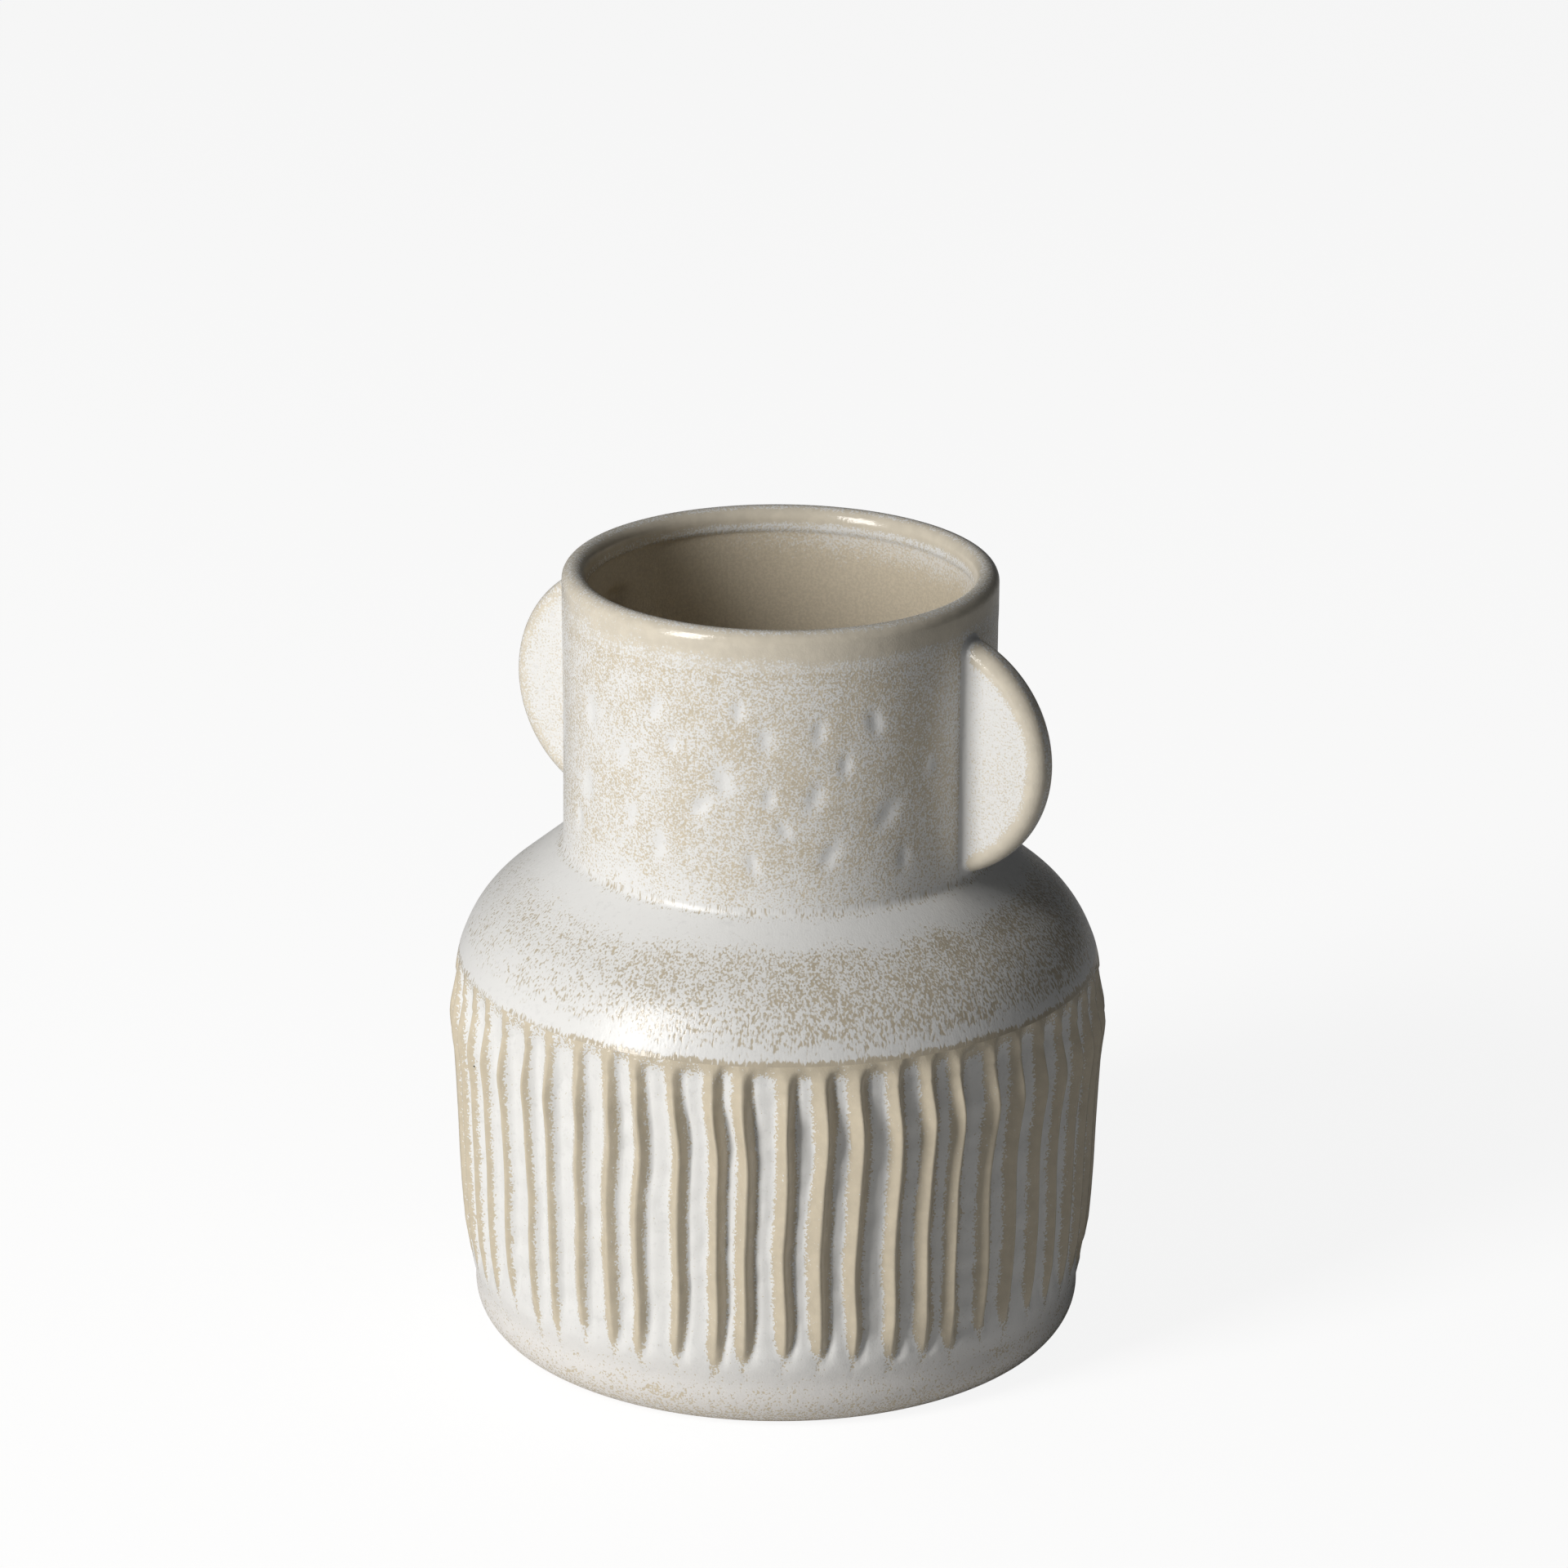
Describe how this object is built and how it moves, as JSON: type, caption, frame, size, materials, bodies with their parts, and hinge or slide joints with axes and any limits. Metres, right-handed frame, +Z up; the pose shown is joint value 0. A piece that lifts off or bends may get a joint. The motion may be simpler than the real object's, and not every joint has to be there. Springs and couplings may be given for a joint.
{
  "type": "vase",
  "caption": "Fluted stoneware vase with a smooth sloping shoulder, a wide straight neck, a rolled lip and two solid half-disc lugs.",
  "frame": {"origin": "centre of the foot ring's resting face, where the vase stands on a table", "axes": "+Z up along the axis of the vase; X through the two lugs, with lug_right on +X; Y square to them"},
  "size_m": [0.1664, 0.1664, 0.2],
  "materials": {
    "bare_clay": "matte",
    "liner_glaze": "satin",
    "drum_glaze": "gloss",
    "shoulder_glaze": "gloss",
    "neck_glaze": "gloss",
    "rim_glaze": "gloss",
    "lug_glaze": "gloss"
  },
  "bodies": {
    "root": {"foot_ring": "bare_clay", "floor_disc": "liner_glaze", "fluted_wall": "drum_glaze", "shoulder": "shoulder_glaze", "neck": "neck_glaze", "rim": "rim_glaze", "lug_right": "lug_glaze", "lug_left": "lug_glaze"}
  },
  "joints": []
}
